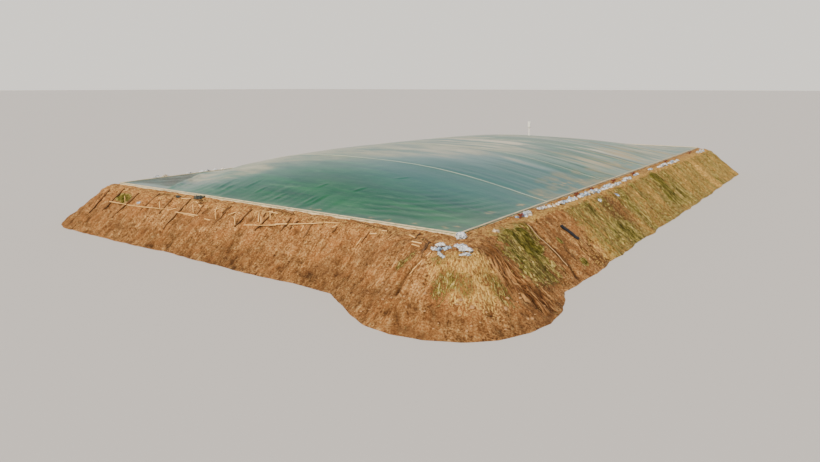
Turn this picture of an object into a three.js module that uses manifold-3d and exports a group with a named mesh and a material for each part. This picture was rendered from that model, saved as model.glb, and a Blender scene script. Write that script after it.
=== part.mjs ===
// Covered lagoon biogas digester: an earth bank round a lined basin, closed by an inflated green
// cover that is clamped to a concrete ring beam. A 1:10 scale model.
// Every size below is that of the real plant in metres; the group's scale makes it the model.
// Origin: middle of the underside of the basin floor. +Z is up, the short front side faces -Y,
// and distances along the digester are measured from the front edge of the cover.
import * as THREE from "three";
import { ConvexGeometry } from "three/addons/geometries/ConvexGeometry.js";
import { mergeVertices } from "three/addons/utils/BufferGeometryUtils.js";
import Module from "manifold-3d";

const wasm = await Module();
wasm.setup();

const MODEL_SCALE = 1 / 10;
const MM_PER_METRE = 1000;
// Running gap between neighbouring pieces, 0.3 mm on the model
const GAP = 0.003;

// Cover, measured where it leaves the ring beam
const COVER = { width: 56, length: 104.5, panels: 5, thick: 0.05, rise: 3.62 };
const HALF_WIDTH = COVER.width / 2;
const HALF_LENGTH = COVER.length / 2;
// Powers that shape the inflated cover across and along, and how its top leans to the front left
const DOME = { across: [2.72, 1.28], along: [4.37, 1.55], lean: [0.122, 0.215] };
// The cover lies slack in the front left corner: reach of that triangle, and where it is full again
const SLACK = { across: 10.2, along: 14.3, full: 1.9 };
const WELD = { width: 0.22, thick: 0.03 };

// Concrete ring beam, sunk in the crest, and the timber batten that clamps the cover to it
const BEAM = { width: 0.5, height: 0.6, top: 5.4, shown: 0.28, chamfer: 0.04 };
const BATTEN = { width: 0.16, height: 0.09, offset: 0.13 };
const BEAM_FACE = BEAM.width / 2;
const BEAM_FOOT = BEAM.top - BEAM.height;

// Earth bank: widths of the crest from the cover's edge, and the run of its slopes
const CREST = { height: BEAM.top - BEAM.shown, front: 1.5, side: 2.5, rear: 2.5, rounding: 0.35 };
const OUTER_RUN = 6.5;
const INNER_RUN = BEAM_FOOT * 1.5;
const CORNER_STEPS = 6;
// Platform of fill that bulges out of the front right corner, and where it eases into the banks
const MOUND = { x: 29.5, along: -3.5, topRadius: 3, sides: 20, easeX: 19, easeAlong: 5 };
const LINER_THICK = 0.06;

// Filled bags, round timber and laths
const BAG = { length: 1.0, width: 0.6, height: 0.28, spacing: 0.85 };
const POLE = { radius: 0.09, sides: 8 };
const LATH = { width: 0.12, thick: 0.05, sunk: 0.02 };

const paint = (color, roughness, metalness = 0) =>
  new THREE.MeshStandardMaterial({ color, roughness, metalness });
const materials = {
  bareEarth: paint(0x9a7043, 1),
  grassEarth: paint(0x7d7634, 1),
  concrete: paint(0xd9cfae, 0.9),
  paleTimber: paint(0xc39a5c, 0.85),
  greenCover: paint(0x3f7f6a, 0.45),
  weld: paint(0x9fb8a8, 0.5),
  blackSheet: paint(0x1c1d1e, 0.5),
  wovenBag: paint(0xbfc9d2, 0.8),
  whitePaint: paint(0xf0efe8, 0.5, 0.2),
  palePipe: paint(0xcdb98f, 0.6),
};

const digester = new THREE.Group();
digester.scale.setScalar(MM_PER_METRE * MODEL_SCALE);

function place(name, geometry, material) {
  const mesh = new THREE.Mesh(geometry, material);
  mesh.name = name;
  digester.add(mesh);
}

// Joining and cutting: a closed geometry becomes a solid, and a solid a geometry again
function solidOf(geometry) {
  const bare = geometry.clone();
  for (const key of Object.keys(bare.attributes)) {
    if (key !== "position") bare.deleteAttribute(key);
  }
  const merged = mergeVertices(bare, 1e-4);
  const vertProperties = new Float32Array(merged.attributes.position.array);
  const triVerts = new Uint32Array(merged.index.array);
  return new wasm.Manifold(new wasm.Mesh({ numProp: 3, vertProperties, triVerts }));
}

function geometryOf(solid) {
  const mesh = solid.getMesh();
  const geometry = new THREE.BufferGeometry();
  geometry.setAttribute("position", new THREE.BufferAttribute(mesh.vertProperties, 3));
  geometry.setIndex(new THREE.BufferAttribute(mesh.triVerts, 1));
  return geometry;
}

const joined = (geometries) => geometryOf(geometries.map(solidOf).reduce((a, b) => a.add(b)));

const box = (sizeX, sizeY, sizeZ, x, y, z) =>
  new THREE.BoxGeometry(sizeX, sizeY, sizeZ).translate(x, y, z);

function outline(points) {
  return new THREE.Shape(points.map(([x, y]) => new THREE.Vector2(x, y)));
}

// The four sides. Each is made as the front one, standing at its distance out, then turned
const SIDES = [
  { name: "front", turn: 0, out: HALF_LENGTH, half: HALF_WIDTH, crest: CREST.front },
  { name: "right", turn: 1, out: HALF_WIDTH, half: HALF_LENGTH, crest: CREST.side },
  { name: "rear", turn: 2, out: HALF_LENGTH, half: HALF_WIDTH, crest: CREST.rear },
  { name: "left", turn: 3, out: HALF_WIDTH, half: HALF_LENGTH, crest: CREST.side },
];

const standOn = (side, geometry) =>
  geometry.translate(0, -side.out, 0).rotateZ((side.turn * Math.PI) / 2);

// A bar along the side: points are [distance outwards from the cover's edge, height]
function bar(points, length) {
  const geometry = new THREE.ExtrudeGeometry(outline(points), { depth: length, bevelEnabled: false });
  const outwards = new THREE.Vector3(0, -1, 0);
  const up = new THREE.Vector3(0, 0, 1);
  const along = new THREE.Vector3(-1, 0, 0);
  const stance = new THREE.Matrix4().makeBasis(outwards, up, along);
  return geometry.applyMatrix4(stance).translate(length / 2, 0, 0);
}

// Outer slope from the crest to the toe, with a rounded shoulder
function outerSlope(crest) {
  const drop = CREST.rounding;
  const shoulder = crest + (drop * OUTER_RUN) / CREST.height;
  return [
    [crest - drop, CREST.height],
    [shoulder, CREST.height - drop],
    [crest + OUTER_RUN, 0],
  ];
}

// Fill that bulges out of the front right corner: a round platform that eases into both banks.
// It is limited to a box that lies outside the ring beam
function bulgeInside(minX, maxX, minY, maxY) {
  const centre = new THREE.Vector2(MOUND.x, MOUND.along - HALF_LENGTH);
  const points = [];
  for (const [radius, height] of outerSlope(MOUND.topRadius)) {
    for (let side = 0; side < MOUND.sides; side++) {
      const angle = (side / MOUND.sides) * 2 * Math.PI;
      const x = centre.x + radius * Math.cos(angle);
      points.push(new THREE.Vector3(x, centre.y + radius * Math.sin(angle), height));
    }
  }
  for (const [offset, height] of [[0, 0], [0, CREST.height], ...outerSlope(CREST.front)]) {
    points.push(new THREE.Vector3(MOUND.easeX, -HALF_LENGTH - offset, height));
  }
  for (const [offset, height] of [[0, 0], [0, CREST.height], ...outerSlope(CREST.side)]) {
    points.push(new THREE.Vector3(HALF_WIDTH + offset, MOUND.easeAlong - HALF_LENGTH, height));
  }
  const sizeX = maxX - minX;
  const sizeY = maxY - minY;
  const room = box(sizeX, sizeY, 4 * BEAM.top, minX + sizeX / 2, minY + sizeY / 2, 0);
  return solidOf(new ConvexGeometry(points)).intersect(solidOf(room));
}

// Outer faces of the ring beam, and a distance that is beyond every toe
const FACE_X = HALF_WIDTH + BEAM_FACE;
const FACE_Y = HALF_LENGTH + BEAM_FACE;
const FAR = HALF_LENGTH;

// A straight side of the bank: pocket for the beam, slopes, and mitred ends on its inner slope
function bankSide(side) {
  const profile = [
    [-BEAM_FACE - INNER_RUN, 0],
    [-BEAM_FACE, BEAM_FOOT - GAP],
    [BEAM_FACE + GAP, BEAM_FOOT - GAP],
    [BEAM_FACE + GAP, CREST.height],
    ...outerSlope(side.crest),
  ];
  const end = side.half + BEAM_FACE - GAP;
  const depth = 2 * BEAM.width + INNER_RUN;
  const plan = [
    [-end, -BEAM_FACE],
    [-end, -FAR],
    [end, -FAR],
    [end, -BEAM_FACE],
    [end - depth, depth - BEAM_FACE],
    [depth - end, depth - BEAM_FACE],
  ];
  const mitre = new THREE.ExtrudeGeometry(outline(plan), { depth: BEAM.top, bevelEnabled: false });
  const length = 2 * (side.half + BEAM.width);
  const bank = solidOf(bar(profile, length)).intersect(solidOf(mitre));
  return solidOf(standOn(side, geometryOf(bank)));
}

// A corner of the bank: elliptical rings that carry the crest and toe of one side into the next
function bankCorner(endSide, signX, signY) {
  const rings = outerSlope(0).map(([, height], k) => ({
    x: outerSlope(CREST.side)[k][0] - BEAM_FACE,
    y: outerSlope(endSide.crest)[k][0] - BEAM_FACE,
    z: height,
  }));
  const points = [new THREE.Vector3(0, 0, 0), new THREE.Vector3(0, 0, CREST.height)];
  for (const ring of rings) {
    for (let step = 0; step <= CORNER_STEPS; step++) {
      const angle = (step / CORNER_STEPS) * (Math.PI / 2);
      points.push(new THREE.Vector3(ring.x * Math.cos(angle), ring.y * Math.sin(angle), ring.z));
    }
  }
  for (const point of points) {
    point.set(signX * (FACE_X + point.x), signY * (FACE_Y + point.y), point.z);
  }
  return solidOf(new ConvexGeometry(points));
}

const [front, right, rear, left] = SIDES;
const banks = {
  front_embankment: bankSide(front).add(bulgeInside(-FACE_X, FACE_X - GAP, -2 * FAR, -FACE_Y - GAP)),
  right_embankment: bankSide(right).add(bulgeInside(FACE_X + GAP, 2 * FAR, GAP - FACE_Y, 0)),
  rear_embankment: bankSide(rear),
  left_embankment: bankSide(left),
  front_left_corner_embankment: bankCorner(front, -1, -1),
  front_right_corner_embankment: bankCorner(front, 1, -1).add(
    bulgeInside(FACE_X, 2 * FAR, -2 * FAR, -FACE_Y),
  ),
  rear_right_corner_embankment: bankCorner(rear, 1, 1),
  rear_left_corner_embankment: bankCorner(rear, -1, 1),
};
for (const [name, solid] of Object.entries(banks)) {
  const grassy = name.includes("right") || name.startsWith("rear");
  place(name, geometryOf(solid), grassy ? materials.grassEarth : materials.bareEarth);
}

const FLOOR_X = HALF_WIDTH - BEAM_FACE - INNER_RUN;
const FLOOR_Y = HALF_LENGTH - BEAM_FACE - INNER_RUN;

// A block between two levels whose sides lean like the basin's, grown sideways by a distance
function frustum(grow, bottom, top) {
  const geometry = box(2, 2, 1, 0, 0, 0.5);
  const position = geometry.attributes.position;
  for (let i = 0; i < position.count; i++) {
    const z = position.getZ(i) > 0.5 ? top : bottom;
    const run = (z / BEAM_FOOT) * INNER_RUN;
    const x = position.getX(i) * (FLOOR_X + run + grow);
    const y = position.getY(i) * (FLOOR_Y + run + grow);
    position.setXYZ(i, x, y, z);
  }
  return solidOf(geometry);
}

// Basin liner: a tray that lies on the inner slopes of the bank
const trayOutside = frustum(-2 * GAP, 0, BEAM_FOOT - GAP);
const trayInside = frustum(-2 * (GAP + LINER_THICK), LINER_THICK, BEAM.top);
place("basin_liner", geometryOf(trayOutside.subtract(trayInside)), materials.blackSheet);

// Ring beams and clamp battens: the end ones run through, the side ones stand between them
const chamferedBeam = [
  [-BEAM_FACE, BEAM_FOOT],
  [-BEAM_FACE, BEAM.top - BEAM.chamfer],
  [-BEAM_FACE + BEAM.chamfer, BEAM.top],
  [BEAM_FACE - BEAM.chamfer, BEAM.top],
  [BEAM_FACE, BEAM.top - BEAM.chamfer],
  [BEAM_FACE, BEAM_FOOT],
];
const COVER_TOP = BEAM.top + GAP + COVER.thick;
const battenHeart = COVER_TOP + GAP + BATTEN.height / 2;
for (const side of SIDES) {
  const runsThrough = side.turn % 2 === 0;
  const reach = (half) => side.half + (runsThrough ? half - GAP : -half - GAP);
  const beam = bar(chamferedBeam, 2 * reach(BEAM_FACE));
  place(`${side.name}_ring_beam`, standOn(side, beam), materials.concrete);
  const battenEnd = BATTEN.offset + (runsThrough ? 1 : -1) * (BATTEN.width / 2);
  const battenLength = 2 * (side.half + battenEnd - GAP);
  const batten = box(battenLength, BATTEN.width, BATTEN.height, 0, -BATTEN.offset, battenHeart);
  place(`${side.name}_clamp_batten`, standOn(side, batten), materials.paleTimber);
}

// Inflated cover: height of its underside above the ring beam
function domeHeight(x, y) {
  const u = Math.min(Math.abs(x) / HALF_WIDTH, 1);
  const v = Math.min(Math.abs(y) / HALF_LENGTH, 1);
  const across = (1 - u ** DOME.across[0]) ** DOME.across[1];
  const along = (1 - v ** DOME.along[0]) ** DOME.along[1];
  const lean = 1 - (DOME.lean[0] * x) / HALF_WIDTH - (DOME.lean[1] * y) / HALF_LENGTH;
  const away = (x + HALF_WIDTH) / SLACK.across + (y + HALF_LENGTH) / SLACK.along;
  return COVER.rise * across * along * lean * THREE.MathUtils.smoothstep(away, 1, SLACK.full);
}

// Lines of a sheet's grid between two edges, with a narrow strip along each edge
function gridLines(low, high, lowStrip, highStrip, count) {
  const lines = [low];
  for (let i = 0; i <= count; i++) {
    lines.push(THREE.MathUtils.lerp(low + lowStrip, high - highStrip, i / count));
  }
  lines.push(high);
  return lines;
}

// A sheet that follows the dome on the given grid lines, lifted off the ring beam
function domeSheet(linesX, linesY, thick, lift) {
  const across = linesX.length - 1;
  const along = linesY.length - 1;
  const sheet = new THREE.BoxGeometry(across, along, 1, across, along, 1);
  const position = sheet.attributes.position;
  for (let i = 0; i < position.count; i++) {
    const x = linesX[Math.round(position.getX(i) + across / 2)];
    const y = linesY[Math.round(position.getY(i) + along / 2)];
    const upper = position.getZ(i) > 0 ? thick : 0;
    position.setXYZ(i, x, y, BEAM.top + lift + domeHeight(x, y) + upper);
  }
  return sheet;
}

const HEM = BEAM_FACE - GAP;
const PANEL_LENGTH = COVER.length / COVER.panels;
const coverLines = gridLines(-HALF_WIDTH - HEM, HALF_WIDTH + HEM, HEM, HEM, 20);
for (let i = 0; i < COVER.panels; i++) {
  const first = i === 0;
  const last = i === COVER.panels - 1;
  const start = -HALF_LENGTH + i * PANEL_LENGTH;
  const low = first ? start - HEM : start + GAP / 2;
  const high = last ? HALF_LENGTH + HEM : start + PANEL_LENGTH - GAP / 2;
  const strips = [first ? HEM : WELD.width / 2, last ? HEM : WELD.width / 2];
  const lines = gridLines(low, high, ...strips, 6);
  place(`cover_panel_${i + 1}`, domeSheet(coverLines, lines, COVER.thick, GAP), materials.greenCover);
}

// Weld flaps lie over the seams between the panels and stop short of the clamp battens
const weldLines = coverLines.slice(1, -1);
for (let i = 1; i < COVER.panels; i++) {
  const y = -HALF_LENGTH + i * PANEL_LENGTH;
  const flap = [y - WELD.width / 2, y, y + WELD.width / 2];
  const weld = domeSheet(weldLines, flap, WELD.thick, COVER.thick + 3 * GAP);
  place(`cover_weld_${i}`, weld, materials.weld);
}

// One filled bag with a flat underside: turn is the heading of its long side in radians
function bag(x, along, turn, underside) {
  const geometry = new THREE.SphereGeometry(1, 6, 4).rotateX(Math.PI / 2);
  const position = geometry.attributes.position;
  const flat = 0.5;
  for (let i = 0; i < position.count; i++) {
    const square = (value) => Math.sign(value) * Math.abs(value) ** 0.7;
    const z = Math.max(position.getZ(i), -flat) + flat;
    position.setXYZ(i, square(position.getX(i)), square(position.getY(i)), z / (1 + flat));
  }
  geometry.scale(BAG.length / 2, BAG.width / 2, BAG.height).rotateZ(turn);
  return geometry.translate(x, along - HALF_LENGTH, underside);
}

// A row of bags from one point of the crest to another, each lapping the next a little
function bagRow(from, to, underside = CREST.height + GAP) {
  const run = Math.hypot(to[0] - from[0], to[1] - from[1]);
  const count = Math.ceil(run / BAG.spacing);
  const heading = Math.atan2(to[1] - from[1], to[0] - from[0]);
  const bags = [];
  for (let i = 0; i <= count; i++) {
    const x = THREE.MathUtils.lerp(from[0], to[0], i / count);
    const along = THREE.MathUtils.lerp(from[1], to[1], i / count);
    const sway = Math.sin(2.4 * i);
    bags.push(bag(x + 0.08 * sway, along, heading + 0.3 * sway, underside));
  }
  return bags;
}

// Rows and heaps of bags: ends of each row as [across from the middle, along from the front edge]
const SECOND_LAYER = CREST.height + GAP + 0.75 * BAG.height;
const THIRD_LAYER = CREST.height + GAP + 1.5 * BAG.height;
const bagGroups = {
  corner_bag_stack: [
    bag(28.66, -0.66, 0.8, CREST.height + GAP),
    bag(28.72, -0.6, 0.95, SECOND_LAYER),
    bag(28.68, -0.68, 0.7, THIRD_LAYER),
  ],
  corner_bag_pile_left: [
    ...bagRow([28.5, -4.9], [29.1, -3.7]),
    ...bagRow([28.95, -5.1], [29.3, -4.3]),
    bag(28.9, -4.5, 1.1, SECOND_LAYER),
  ],
  corner_bag_pile_right: [
    ...bagRow([30.0, -2.9], [31.6, -4.2]),
    ...bagRow([30.55, -3.9], [31.7, -4.9]),
    ...bagRow([30.8, -3.9], [31.6, -4.5], SECOND_LAYER),
  ],
  right_bag_heap: [
    ...bagRow([28.7, 12.5], [28.8, 13.9]),
    ...bagRow([29.05, 12.6], [29.1, 13.4]),
    bag(28.9, 13.1, 1.3, SECOND_LAYER),
  ],
  right_bag_row_1: bagRow([29.0, 19.2], [29.5, 26.4]),
  right_bag_row_2: bagRow([29.4, 27.7], [29.8, 34.1]),
  right_bag_row_3: bagRow([29.8, 35.6], [29.8, 42.0]),
  right_bag_row_4: bagRow([29.6, 45.0], [29.6, 48.6]),
  right_bag_row_5: bagRow([29.5, 65.7], [29.7, 70.0]),
  right_bag_row_6: bagRow([29.8, 72.3], [29.8, 78.0]),
  right_bag_row_7: bagRow([29.8, 95.6], [29.8, 102.1]),
  left_bag_row_1: bagRow([-29.4, 6.4], [-29.3, 8.6]),
  left_bag_row_2: bagRow([-29.5, 11.7], [-29.3, 19.6]),
};
for (const [name, bags] of Object.entries(bagGroups)) {
  place(name, joined(bags), materials.wovenBag);
}

// Timber on the front slope: a place is [across, distance down the slope from the crest's edge]
const SLOPE_ANGLE = Math.atan2(CREST.height, OUTER_RUN);

function onSlope(geometry, side) {
  geometry.rotateX(SLOPE_ANGLE).translate(0, -side.crest, CREST.height);
  return standOn(side, geometry);
}

// Turns a geometry that stands along +Y into one that lies from one place to another
function lying(geometry, from, to, lift) {
  const turn = Math.atan2(from[1] - to[1], to[0] - from[0]) - Math.PI / 2;
  const x = (from[0] + to[0]) / 2;
  const y = -(from[1] + to[1]) / 2;
  return geometry.rotateZ(turn).translate(x, y, lift);
}

const runOf = (from, to) => Math.hypot(to[0] - from[0], to[1] - from[1]);

// Half the height of a pole whose flat sides lie on the slope
const heartOf = (radius) => radius * Math.cos(Math.PI / POLE.sides);

function roundPole(from, to, radius = POLE.radius) {
  const pole = new THREE.CylinderGeometry(radius, radius, runOf(from, to), POLE.sides);
  return lying(pole.rotateY(Math.PI / POLE.sides), from, to, GAP + heartOf(radius));
}

// A lath nailed on top of the poles, let into them a little
function lath(from, to) {
  const lift = GAP + 2 * heartOf(POLE.radius) + LATH.thick / 2 - LATH.sunk;
  const plank = new THREE.BoxGeometry(LATH.width, runOf(from, to), LATH.thick);
  return lying(plank, from, to, lift);
}

const slopeTimber = {
  slope_pole_left: [roundPole([-27.9, 1.0], [-27.5, 5.0])],
  slope_pole_middle: [roundPole([1.0, 0.6], [0.5, 2.9])],
  slope_grid_1: [
    roundPole([-24.8, 0.6], [-25.3, 4.4]),
    roundPole([-20.8, 0.6], [-22.1, 5.0]),
    roundPole([-17.0, 0.6], [-17.8, 3.2]),
    roundPole([-13.9, 0.6], [-13.7, 3.1]),
    lath([-25.4, 2.6], [-17.2, 2.5]),
    lath([-17.6, 2.55], [-12.6, 2.35]),
  ],
  slope_grid_2: [
    roundPole([-10.6, 0.6], [-10.7, 5.2]),
    roundPole([-7.0, 0.65], [-7.1, 3.4]),
    lath([-11.0, 2.3], [-6.2, 2.3]),
  ],
  slope_grid_3: [
    roundPole([4.5, 0.6], [3.9, 2.9]),
    roundPole([7.6, 0.6], [7.5, 2.2]),
    lath([3.6, 2.3], [8.0, 1.45]),
  ],
  slope_grid_4: [
    roundPole([11.3, 0.65], [11.2, 2.6]),
    roundPole([9.0, 0.65], [8.8, 2.0]),
    lath([8.4, 1.5], [12.6, 0.8]),
  ],
};
for (const [name, sticks] of Object.entries(slopeTimber)) {
  place(name, onSlope(joined(sticks), front), materials.paleTimber);
}

// Two pipes that lie on the right slope. Across is here the distance along the right side
const fromMiddle = (along) => along - HALF_LENGTH;
const palePipe = roundPole([fromMiddle(9.5), 0.6], [fromMiddle(8.6), 6.9], 0.08);
place("pale_slope_pipe", onSlope(palePipe, right), materials.palePipe);
const blackPipe = roundPole([fromMiddle(15.2), 1.9], [fromMiddle(15.8), 4.3], 0.17);
place("black_slope_pipe", onSlope(blackPipe, right), materials.blackSheet);

// Gas flare on the rear crest: footing, stem, and a head with a tapered foot
const FLARE = { x: -13.7, along: 105.85, low: BEAM.top + 2.8, top: BEAM.top + 4.5 };
const FLARE_STEM = { radius: 0.15, flangeRadius: 0.3, flange: 0.05 };
const FLARE_HEAD = { radius: 0.4, neck: 0.2, taper: 0.35, edge: 0.06 };
const FOOTING = { side: 0.9, height: 0.25 };

function upright(geometry) {
  return geometry.translate(FLARE.x, FLARE.along - HALF_LENGTH, 0);
}

function turned(points, sides = 16) {
  const profile = points.map(([radius, height]) => new THREE.Vector2(radius, height));
  return upright(new THREE.LatheGeometry(profile, sides).rotateX(Math.PI / 2));
}

const footingTop = CREST.height + GAP + FOOTING.height;
const footing = box(FOOTING.side, FOOTING.side, FOOTING.height, 0, 0, footingTop - FOOTING.height / 2);
place("flare_footing", upright(footing), materials.concrete);
const flangeTop = footingTop + FLARE_STEM.flange;
place(
  "flare_stem",
  turned([
    [0, footingTop + GAP],
    [FLARE_STEM.flangeRadius, footingTop + GAP],
    [FLARE_STEM.flangeRadius, flangeTop],
    [FLARE_STEM.radius, flangeTop],
    [FLARE_STEM.radius, FLARE.low],
    [0, FLARE.low],
  ]),
  materials.whitePaint,
);
place(
  "flare_head",
  turned([
    [0, FLARE.low + GAP],
    [FLARE_HEAD.neck, FLARE.low + GAP],
    [FLARE_HEAD.radius, FLARE.low + FLARE_HEAD.taper],
    [FLARE_HEAD.radius, FLARE.top - FLARE_HEAD.edge],
    [FLARE_HEAD.radius - FLARE_HEAD.edge, FLARE.top],
    [0, FLARE.top],
  ]),
  materials.whitePaint,
);

export default digester;
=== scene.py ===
# Covered lagoon digester, a 1:10 model: its soil, cover, bags, timber and flare, over the CAD frame.
# Sizes are the real plant's in metres, and MODEL makes them the model's. x runs across from the
# middle, y back from the cover's front edge, and down is from the crest's edge down a slope. Four
# numbers are a line: where it starts and ends, by x and y, or by across and down on a slope.
import random
from math import atan2, ceil, copysign, cos, dist, exp, hypot, pi, radians, sin

import bpy
from mathutils import Matrix, Vector, noise
from mathutils.bvhtree import BVHTree


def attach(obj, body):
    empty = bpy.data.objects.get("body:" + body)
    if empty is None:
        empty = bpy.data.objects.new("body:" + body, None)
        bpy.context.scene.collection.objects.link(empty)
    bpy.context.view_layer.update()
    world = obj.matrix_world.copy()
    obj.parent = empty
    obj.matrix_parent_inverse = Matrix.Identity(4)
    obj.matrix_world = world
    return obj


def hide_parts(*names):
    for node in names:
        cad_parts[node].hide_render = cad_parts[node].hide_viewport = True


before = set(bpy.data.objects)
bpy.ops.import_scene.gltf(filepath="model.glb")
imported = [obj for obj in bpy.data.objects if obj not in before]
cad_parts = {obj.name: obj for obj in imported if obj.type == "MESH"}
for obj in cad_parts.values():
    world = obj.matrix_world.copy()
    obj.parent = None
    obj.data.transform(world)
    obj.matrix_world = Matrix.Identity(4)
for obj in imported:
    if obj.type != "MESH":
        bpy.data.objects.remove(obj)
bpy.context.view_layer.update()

MODEL = 0.1
HALF_X = 28
HALF_Y = 52.25
LENGTH = 2 * HALF_Y
BEAM_FACE = 0.25
BEAM_TOP = 5.4
GAP = 0.003
CREST_HEIGHT = 5.12
CREST_WIDTH = {"front": 1.5, "right": 2.5}
OUTER_RUN = 6.5
SLOPE = atan2(CREST_HEIGHT, OUTER_RUN)
SIDES = ("front", "right", "rear", "left")
DOWN = Vector((0, 0, -1))
UP = Vector((0, 0, 1))


def place(x, y, z=0):
    """A point of the model, from real metres."""
    return Vector((x, y - HALF_Y, z)) * MODEL


def between(line, steps):
    """Places at even steps from one end of a line to the other."""
    x, y, last_x, last_y = line
    shares = (i / steps for i in range(steps + 1))
    return [(x + (last_x - x) * share, y + (last_y - y) * share) for share in shares]


def smooth(value, low, high):
    """0 below low, 1 above high, and a smooth step between."""
    share = min(max((value - low) / (high - low), 0), 1)
    return share * share * (3 - 2 * share)


def fade(value, low, high):
    """1 below low, 0 above high."""
    return 1 - smooth(value, low, high)


def blob(x, y, centre_x, centre_y, reach_x, reach_y):
    """1 in the middle of an oval patch, falling to 0 at its edge."""
    return fade(hypot((x - centre_x) / reach_x, (y - centre_y) / reach_y), 0.45, 1)


def blobs(x, y, patches):
    """The sum of oval patches, each with how much it counts."""
    return sum(much * blob(x, y, *spread) for *spread, much in patches)


def rough(x, y, size, seed=0, octaves=3):
    """Soft irregular noise, about -1 to 1, with lumps of the given size."""
    point = Vector((x / size, y / size, seed))
    return noise.fractal(point, 1, 2, octaves, noise_basis="PERLIN_ORIGINAL")


# Short calls for work on objects
def take(*objects):
    bpy.ops.object.select_all(action="DESELECT")
    for obj in objects:
        obj.select_set(True)
    bpy.context.view_layer.objects.active = objects[0]


def add(primitive, **settings):
    bpy.ops.object.select_all(action="DESELECT")
    primitive(**settings)
    return bpy.context.object


def add_grid(columns, rows):
    operator = bpy.ops.mesh.primitive_grid_add
    return add(operator, x_subdivisions=columns, y_subdivisions=rows, size=1)


def pick(action="SELECT"):
    bpy.ops.mesh.select_all(action=action)


def editing(obj):
    take(obj)
    bpy.ops.object.mode_set(mode="EDIT")
    pick()


def done_editing():
    bpy.ops.object.mode_set(mode="OBJECT")


def settle(obj):
    take(obj)
    bpy.ops.object.transform_apply(location=True, rotation=True, scale=True)


def modify(obj, kind, **settings):
    take(obj)
    modifier = obj.modifiers.new(kind.lower(), kind)
    for key, value in settings.items():
        setattr(modifier, key, value)
    bpy.ops.object.modifier_apply(modifier=modifier.name)


def bevel(obj, width):
    modify(obj, "BEVEL", width=width * MODEL, segments=2)


def twin_of(obj):
    twin = obj.copy()
    twin.data = obj.data.copy()
    bpy.context.collection.objects.link(twin)
    return twin


def joined(objects):
    take(*objects)
    bpy.ops.object.join()
    return objects[0]


def dress(obj, finish):
    obj.data.materials.clear()
    obj.data.materials.append(finish)


def piece(obj, name, finish, nodes=(), angle=None):
    """Names a finished object, gives it its material, shades it smooth, hangs it under the root and
    hides the CAD nodes it stands for.
    """
    obj.name = name
    obj.data.name = name
    dress(obj, finish)
    take(obj)
    if angle is None:
        bpy.ops.object.shade_smooth()
    else:
        bpy.ops.object.shade_smooth_by_angle(angle=radians(angle))
    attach(obj, "root")
    if nodes:
        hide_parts(*nodes)
    return obj


# Materials
def tone(red, green, blue):
    """A screen colour, 0 to 255, as the linear colour that a shader takes."""
    return (*(((c / 255 + 0.055) / 1.055) ** 2.4 for c in (red, green, blue)), 1.0)


class Finish:
    """A material's nodes, made with short calls that take screen colours."""

    def __init__(self, name, roughness=0.9, specular=0.3):
        self.material = bpy.data.materials.new(name)
        self.material.use_nodes = True
        self.tree = self.material.node_tree
        self.surface = self.tree.nodes["Principled BSDF"]
        self.give(self.surface, {"Roughness": roughness, "Specular IOR Level": specular})
        self.place = self.node("TexCoord").outputs["Object"]

    def give(self, node, values):
        for name, value in values.items():
            socket = node.inputs[name]
            if isinstance(value, bpy.types.NodeSocket):
                self.tree.links.new(value, socket)
            else:
                socket.default_value = tone(*value) if socket.type == "RGBA" else value

    def node(self, kind, values=None, **settings):
        node = self.tree.nodes.new("ShaderNode" + kind)
        for key, value in settings.items():
            setattr(node, key, value)
        self.give(node, values or {})
        return node

    def attribute(self, name):
        return self.node("Attribute", attribute_name=name).outputs

    def shares(self, name):
        """The four shares that a colour attribute holds."""
        stored = self.attribute(name)
        split = self.node("SeparateColor", {"Color": stored["Color"]})
        return (*split.outputs, stored["Alpha"])

    def noise(self, scale, detail, roughness, vector=None):
        """Cloudy noise, or streaks where three scales are given."""
        vector = vector or self.place
        if isinstance(scale, tuple):
            vector = self.node("Mapping", {"Vector": vector, "Scale": scale}).outputs["Vector"]
            scale = 1
        values = {"Vector": vector, "Scale": scale, "Detail": detail, "Roughness": roughness}
        return self.node("TexNoise", values).outputs["Fac"]

    def scaled(self, value, by, plus=0):
        """A product, with something added to it."""
        return self.node("Math", {0: value, 1: by, 2: plus}, operation="MULTIPLY_ADD").outputs[0]

    def step(self, value, low, high):
        values = {"Value": value, "From Min": low, "From Max": high}
        return self.node("MapRange", values, interpolation_type="SMOOTHSTEP").outputs["Result"]

    def ramp(self, value, *stops):
        """Colours along a stripe, each after its place on it."""
        node = self.node("ValToRGB", {"Fac": value})
        stripe = node.color_ramp.elements
        while len(stripe) < len(stops):
            stripe.new(0.5)
        for element, (position, *colour) in zip(stripe, stops):
            element.position = position
            element.color = tone(*colour)
        return node.outputs["Color"]

    def layer(self, base, colour, mask, share=1, blend="MIX"):
        """One colour over another, by its mask and its share."""
        if share != 1:
            mask = self.scaled(mask, share)
        values = {0: mask, 6: base, 7: colour}
        return self.node("Mix", values, data_type="RGBA", blend_type=blend).outputs[2]

    def finish(self, colour, *bumps, **others):
        """Joins up the surface: colour, and bumps by height, strength and distance."""
        values = {"Base Color": colour, **others}
        below = {}
        for height, strength, distance in bumps:
            below.update({"Height": height, "Strength": strength, "Distance": distance})
            below["Normal"] = self.node("Bump", below).outputs["Normal"]
            values["Normal"] = below["Normal"]
        self.give(self.surface, values)
        return self.material


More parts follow.
